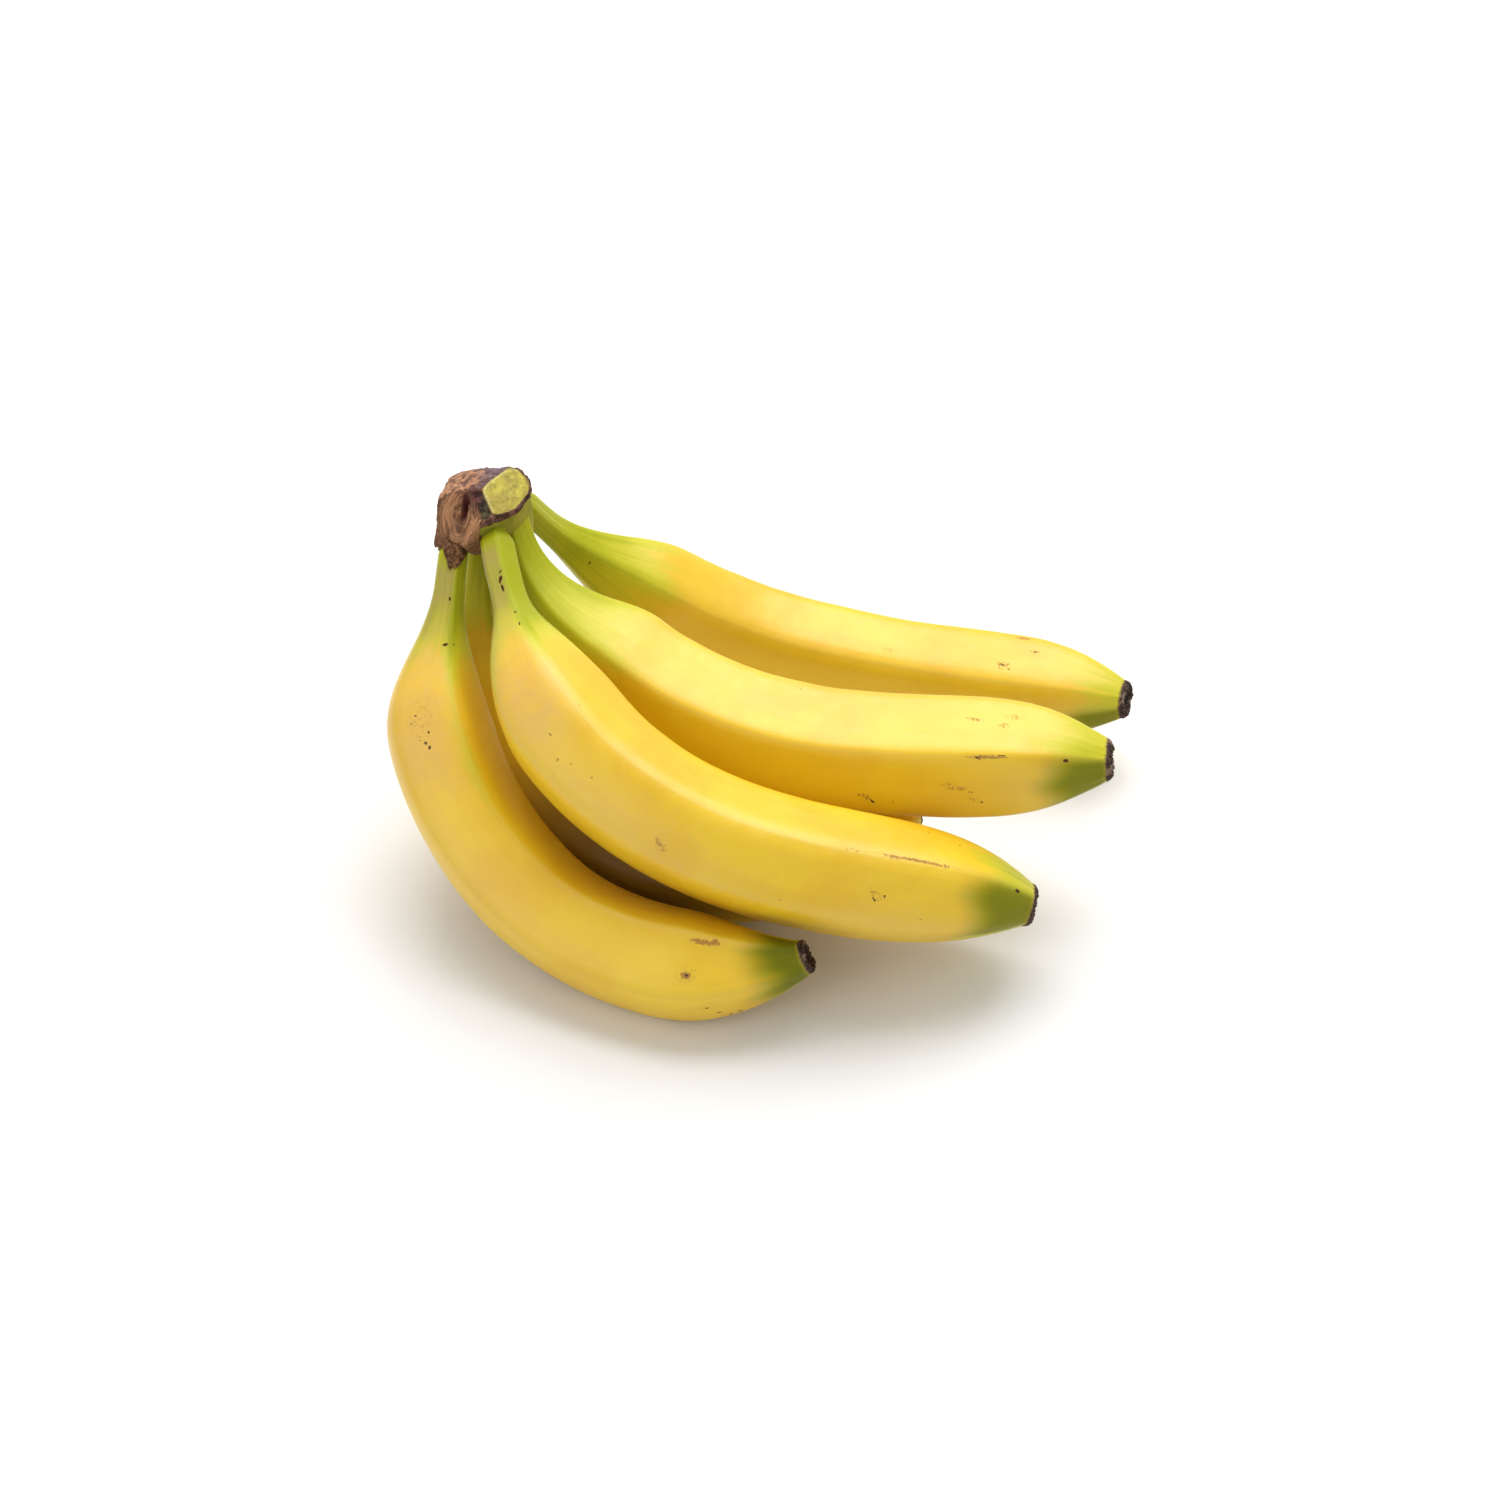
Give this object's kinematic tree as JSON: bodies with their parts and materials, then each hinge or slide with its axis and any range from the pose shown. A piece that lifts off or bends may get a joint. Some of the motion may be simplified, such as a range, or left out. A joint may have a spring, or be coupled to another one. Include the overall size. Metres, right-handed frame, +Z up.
{
  "type": "bunch of bananas",
  "caption": "Ripe dessert bananas joined at a dried crown, lying on their bellies with green necks and dark blossom ends.",
  "frame": {"origin": "middle of the footprint, on the surface that the bunch lies on", "axes": "+X from the crown towards the blossom ends, +Y from the front banana towards the back banana, +Z up"},
  "size_m": [0.2402, 0.1832, 0.1165],
  "materials": {
    "peel": "waxy ripe peel, satin, yellow with green at the neck and the blossom end",
    "peel_under": "waxy ripe peel, satin, a little deeper yellow",
    "crown": "dry fibrous brown cut with a fresh yellow-green knife facet, matte"
  },
  "bodies": {
    "root": {"banana_front": "peel", "banana_middle": "peel", "banana_upper": "peel", "banana_back": "peel", "banana_under": "peel_under", "crown": "crown"}
  },
  "joints": []
}
